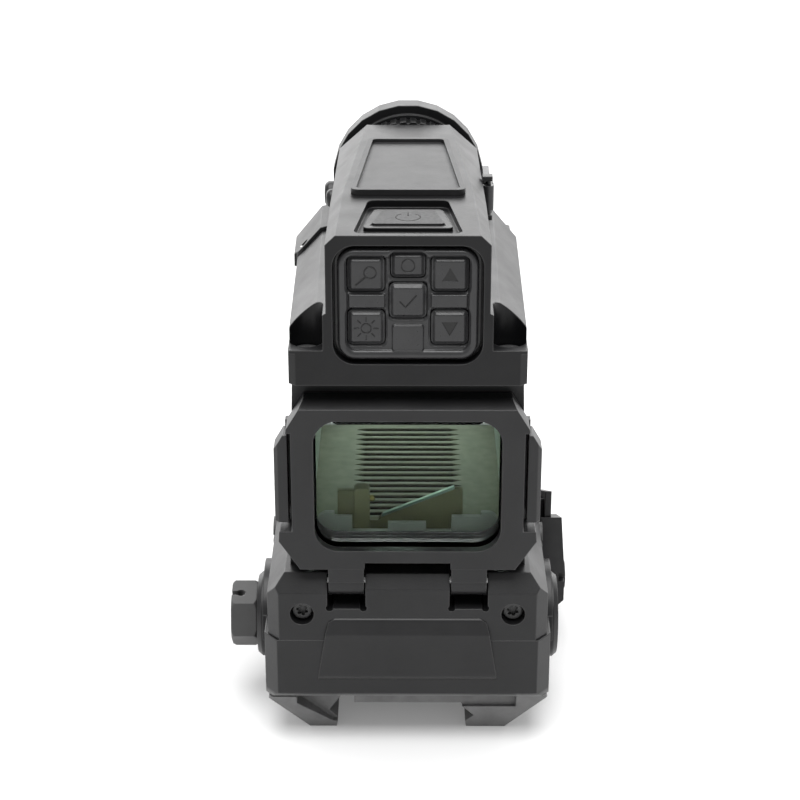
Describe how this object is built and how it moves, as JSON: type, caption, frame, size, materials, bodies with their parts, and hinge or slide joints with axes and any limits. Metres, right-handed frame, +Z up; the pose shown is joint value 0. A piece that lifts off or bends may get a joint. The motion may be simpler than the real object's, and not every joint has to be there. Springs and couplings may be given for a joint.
{
  "type": "reflex sight",
  "caption": "Enclosed reflex sight for an accessory rail: flip-down window cover, ribbed optical tunnel, and a camera module on top with a rear keypad and a focusing objective.",
  "frame": {"origin": "centre of the main land of the rail seat, behind the recoil lug, on its lower face", "axes": "+Y forward along the line of sight towards the target, +Z up, +X to the user's right"},
  "size_m": [0.0558, 0.069, 0.087],
  "materials": {
    "anodised_body": "hard black anodised, bead blasted, satin",
    "anodised_light": "black anodised, machined, satin",
    "steel_black": "blackened steel, satin",
    "steel_pin": "ground steel",
    "rubber": "moulded silicone rubber, matt",
    "plastic": "glass-filled nylon, matt",
    "coated_glass": "green anti-reflection coating",
    "clear_window": "clear polycarbonate, hard coated",
    "infrared_glass": "germanium lens, polished",
    "dull_black": "light-absorbing black",
    "dull_olive": "olive light-absorbing finish",
    "emitter_metal": "gold-plated emitter",
    "mirror_coat": "evaporated mirror coating on glass",
    "circuit": "solder mask on glass-epoxy board",
    "cell_wrap": "shrink-wrapped cell",
    "cell_steel": "nickel-plated steel"
  },
  "bodies": {
    "sight": {"sight_base": "anodised_body", "rear_pad": "anodised_body", "recoil_lug": "steel_black", "clamp_bosses": "anodised_body", "upper_body": "anodised_body", "hinge_pin": "steel_pin", "body_screws": "steel_black", "tunnel_housing": "anodised_body", "latch_pins": "steel_pin", "rear_window": "coated_glass", "rear_window_seal": "rubber", "front_lens": "coated_glass", "front_bezel": "anodised_body", "ribbed_floor": "dull_black", "sill_plate": "dull_black", "emitter_post": "dull_olive", "emitter_diode": "emitter_metal", "mirror_block": "dull_olive", "fold_mirror": "mirror_coat", "dot_board": "circuit", "dot_cell": "cell_steel", "side_pod": "plastic", "pod_guard": "anodised_body", "module_housing": "anodised_light", "module_screws": "steel_black", "top_plate": "plastic", "keypad_mat": "rubber", "keypad_board": "circuit", "door_pin": "steel_pin", "battery_cell": "cell_wrap", "battery_contacts": "cell_steel", "main_board": "circuit", "camera_core": "dull_black", "usb_port": "cell_steel", "flap_pin": "steel_black", "side_lugs": "anodised_body", "objective_barrel": "anodised_body", "objective_lens": "infrared_glass"},
    "cover": {"cover_frame": "anodised_body", "cover_window": "clear_window", "cover_seal": "rubber"},
    "latch_left": {"latch_left": "anodised_body"},
    "latch_right": {"latch_right": "anodised_body"},
    "jaw": {"rail_jaw": "anodised_body"},
    "bolt": {"clamp_bolt": "steel_black"},
    "focus": {"focus_ring": "anodised_light", "bell_ring": "anodised_light"},
    "power_button": {"power_button": "rubber"},
    "key_zoom": {"key_zoom": "rubber"},
    "key_up": {"key_up": "rubber"},
    "key_confirm": {"key_confirm": "rubber"},
    "key_brightness": {"key_brightness": "rubber"},
    "key_down": {"key_down": "rubber"},
    "key_record": {"key_record": "rubber"},
    "pod_button_rear": {"pod_button_rear": "rubber"},
    "pod_button_front": {"pod_button_front": "rubber"},
    "battery_door": {"battery_door": "anodised_light"},
    "usb_cover": {"usb_cover": "rubber"},
    "elevation_screw": {"elevation_screw": "steel_black"},
    "windage_screw": {"windage_screw": "steel_black"}
  },
  "joints": [
    {"name": "cover_hinge", "type": "hinge", "parent": "sight", "child": "cover", "pos_m": [0, -0.0217, 0.0226], "axis": [1, 0, 0], "range_deg": [0, 95]},
    {"name": "latch_left_pivot", "type": "hinge", "parent": "sight", "child": "latch_left", "pos_m": [-0.0194, -0.0167, 0.04], "axis": [0, 0, -1], "range_deg": [0, 12], "stiffness_Nm_per_rad": 0.05},
    {"name": "latch_right_pivot", "type": "hinge", "parent": "sight", "child": "latch_right", "pos_m": [0.0194, -0.0167, 0.04], "axis": [0, 0, 1], "range_deg": [0, 12], "stiffness_Nm_per_rad": 0.05},
    {"name": "jaw_slide", "type": "slide", "parent": "sight", "child": "jaw", "axis": [1, 0, 0], "range_m": [-0.0005, 0.0019]},
    {"name": "bolt_turn", "type": "hinge", "parent": "sight", "child": "bolt", "pos_m": [0, -0.0081, 0.009], "axis": [-1, 0, 0], "range_deg": [-200, 700]},
    {"name": "focus_turn", "type": "hinge", "parent": "sight", "child": "focus", "pos_m": [0, 0.0379, 0.0686], "axis": [0, 1, 0], "range_deg": [-60, 60]},
    {"name": "battery_door_hinge", "type": "hinge", "parent": "sight", "child": "battery_door", "pos_m": [-0.017, 0.0129, 0.063], "axis": [0, 0, 1], "range_deg": [0, 66]},
    {"name": "usb_cover_hinge", "type": "hinge", "parent": "sight", "child": "usb_cover", "pos_m": [0.01295, 0.0137, 0.073], "axis": [0, 0, -1], "range_deg": [0, 90]},
    {"name": "elevation_turn", "type": "hinge", "parent": "sight", "child": "elevation_screw", "pos_m": [-0.02, 0.0049, 0.0175], "axis": [-1, 0, 0], "continuous": true},
    {"name": "windage_turn", "type": "hinge", "parent": "sight", "child": "windage_screw", "pos_m": [0.02, 0.0029, 0.0175], "axis": [1, 0, 0], "continuous": true},
    {"name": "power_button_press", "type": "slide", "parent": "sight", "child": "power_button", "axis": [0, 0, -1], "range_m": [0, 0.0005], "stiffness_N_per_m": 300},
    {"name": "key_zoom_press", "type": "slide", "parent": "sight", "child": "key_zoom", "axis": [0, 1, 0], "range_m": [0, 0.0006], "stiffness_N_per_m": 300},
    {"name": "key_up_press", "type": "slide", "parent": "sight", "child": "key_up", "axis": [0, 1, 0], "range_m": [0, 0.0006], "stiffness_N_per_m": 300},
    {"name": "key_confirm_press", "type": "slide", "parent": "sight", "child": "key_confirm", "axis": [0, 1, 0], "range_m": [0, 0.0006], "stiffness_N_per_m": 300},
    {"name": "key_brightness_press", "type": "slide", "parent": "sight", "child": "key_brightness", "axis": [0, 1, 0], "range_m": [0, 0.0006], "stiffness_N_per_m": 300},
    {"name": "key_down_press", "type": "slide", "parent": "sight", "child": "key_down", "axis": [0, 1, 0], "range_m": [0, 0.0006], "stiffness_N_per_m": 300},
    {"name": "key_record_press", "type": "slide", "parent": "sight", "child": "key_record", "axis": [0, 1, 0], "range_m": [0, 0.0006], "stiffness_N_per_m": 300},
    {"name": "pod_button_rear_press", "type": "slide", "parent": "sight", "child": "pod_button_rear", "axis": [-1, 0, 0], "range_m": [0, 0.0005], "stiffness_N_per_m": 300},
    {"name": "pod_button_front_press", "type": "slide", "parent": "sight", "child": "pod_button_front", "axis": [-1, 0, 0], "range_m": [0, 0.0005], "stiffness_N_per_m": 300}
  ],
  "couplings": [
    {"joint": "bolt_turn", "follows": "jaw_slide", "rad_per_m": 6283.2}
  ]
}
